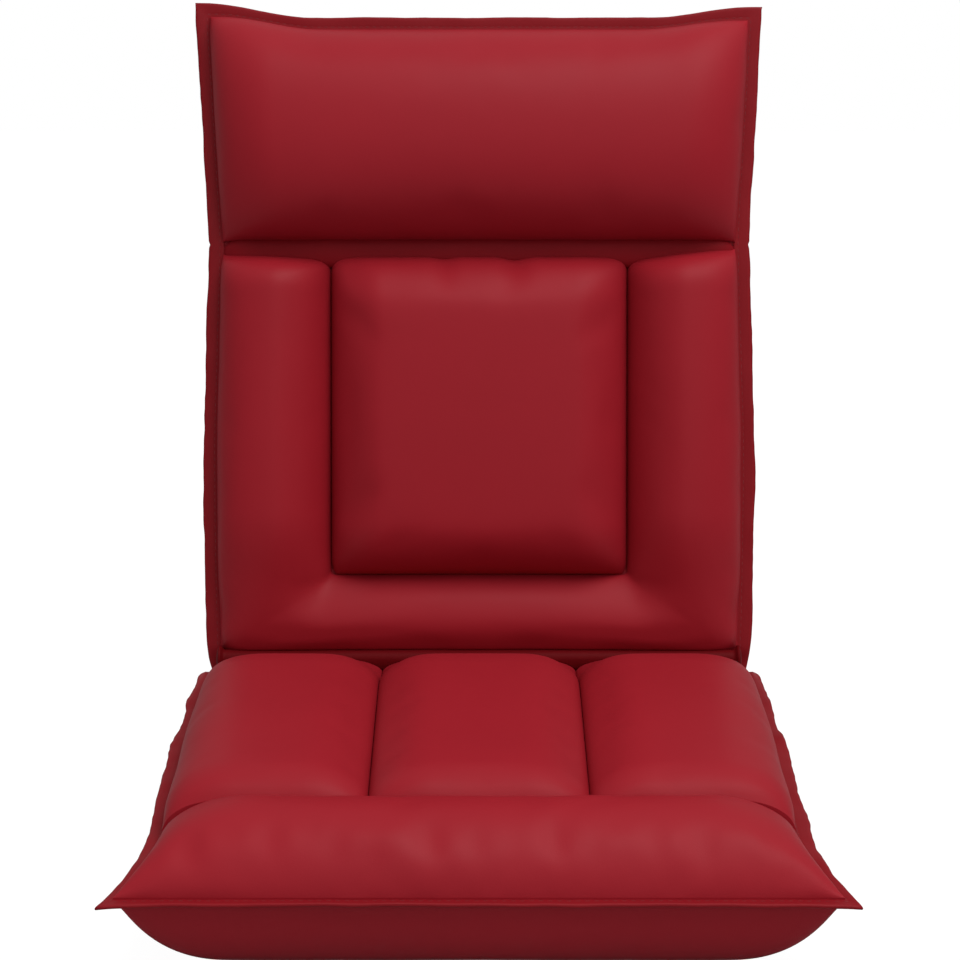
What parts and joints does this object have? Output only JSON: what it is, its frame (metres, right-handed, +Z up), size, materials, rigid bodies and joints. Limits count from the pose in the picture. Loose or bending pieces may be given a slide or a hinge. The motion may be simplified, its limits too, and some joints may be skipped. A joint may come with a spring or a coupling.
{
  "type": "folding floor chair",
  "caption": "Legless padded floor chair: quilted seat, reclining back and folding headrest on a steel tube frame with ratchet hinges.",
  "frame": {"origin": "middle of the seat cushion's flat underside, on the floor", "axes": "+Z up; the sitter faces -Y; +X is the sitter's left; the crease hinges' line is parallel to X"},
  "size_m": [0.554, 0.7153, 0.7009],
  "materials": {
    "cover": "satin",
    "welt": "satin",
    "foam": "matte",
    "webbing": "matte",
    "frame": "satin",
    "zinc_plate": "satin",
    "hardened_steel": "satin"
  },
  "bodies": {
    "seat": {"seat_underside_cushion": "cover", "seat_frame_tube": "frame", "seat_cross_tube": "frame", "seat_core_foam": "foam", "seat_strap_1": "webbing", "seat_strap_2": "webbing", "seat_strap_3": "webbing", "seat_channel_left": "cover", "seat_channel_middle": "cover", "seat_channel_right": "cover", "seat_front_roll": "cover", "seat_welt_left": "welt", "seat_welt_right": "welt", "seat_welt_front": "welt", "crease_seam_roll": "welt", "rear_gusset": "cover", "crease_hinge_toothed_plate_left": "zinc_plate", "crease_hinge_toothed_plate_right": "zinc_plate", "crease_hinge_rivet_left": "zinc_plate", "crease_hinge_rivet_right": "zinc_plate"},
    "back": {"back_rear_cushion": "cover", "back_rail_left": "frame", "back_rail_right": "frame", "back_cross_tube_lower": "frame", "back_cross_tube_upper": "frame", "back_core_foam": "foam", "back_strap_1": "webbing", "back_strap_2": "webbing", "back_strap_3": "webbing", "back_bolster": "cover", "lumbar_pad": "cover", "back_welt_left": "welt", "back_welt_right": "welt", "head_seam_roll": "welt", "crease_hinge_pawl_plate_left": "zinc_plate", "crease_hinge_pawl_plate_right": "zinc_plate", "crease_hinge_pawl_spring_left": "hardened_steel", "crease_hinge_pawl_spring_right": "hardened_steel", "head_hinge_toothed_plate_left": "zinc_plate", "head_hinge_toothed_plate_right": "zinc_plate", "head_hinge_rivet_left": "zinc_plate", "head_hinge_rivet_right": "zinc_plate"},
    "head": {"head_rear_cushion": "cover", "head_frame_tube": "frame", "head_core_foam": "foam", "head_strap": "webbing", "head_pillow": "cover", "head_welt_left": "welt", "head_welt_right": "welt", "head_welt_top": "welt", "head_hinge_pawl_plate_left": "zinc_plate", "head_hinge_pawl_plate_right": "zinc_plate", "head_hinge_pawl_spring_left": "hardened_steel", "head_hinge_pawl_spring_right": "hardened_steel"},
    "crease_pawls": {"crease_hinge_pawl_left": "hardened_steel", "crease_hinge_pawl_right": "hardened_steel"},
    "head_pawls": {"head_hinge_pawl_left": "hardened_steel", "head_hinge_pawl_right": "hardened_steel"}
  },
  "joints": [
    {"name": "back_fold", "type": "hinge", "parent": "seat", "child": "back", "pos_m": [0, 0.25, 0.085], "axis": [1, 0, 0], "range_deg": [-77, 66], "deforming": ["rear_gusset"]},
    {"name": "head_fold", "type": "hinge", "parent": "back", "child": "head", "pos_m": [0, 0.35265, 0.47182], "axis": [1, 0, 0], "range_deg": [0, 55]},
    {"name": "crease_pawl_lift", "type": "hinge", "parent": "back", "child": "crease_pawls", "pos_m": [0, 0.26769, 0.06152], "axis": [1, 0, 0], "range_deg": [-14, 0]},
    {"name": "head_pawl_lift", "type": "hinge", "parent": "head", "child": "head_pawls", "pos_m": [0, 0.37034, 0.44834], "axis": [1, 0, 0], "range_deg": [-14, 0]}
  ]
}
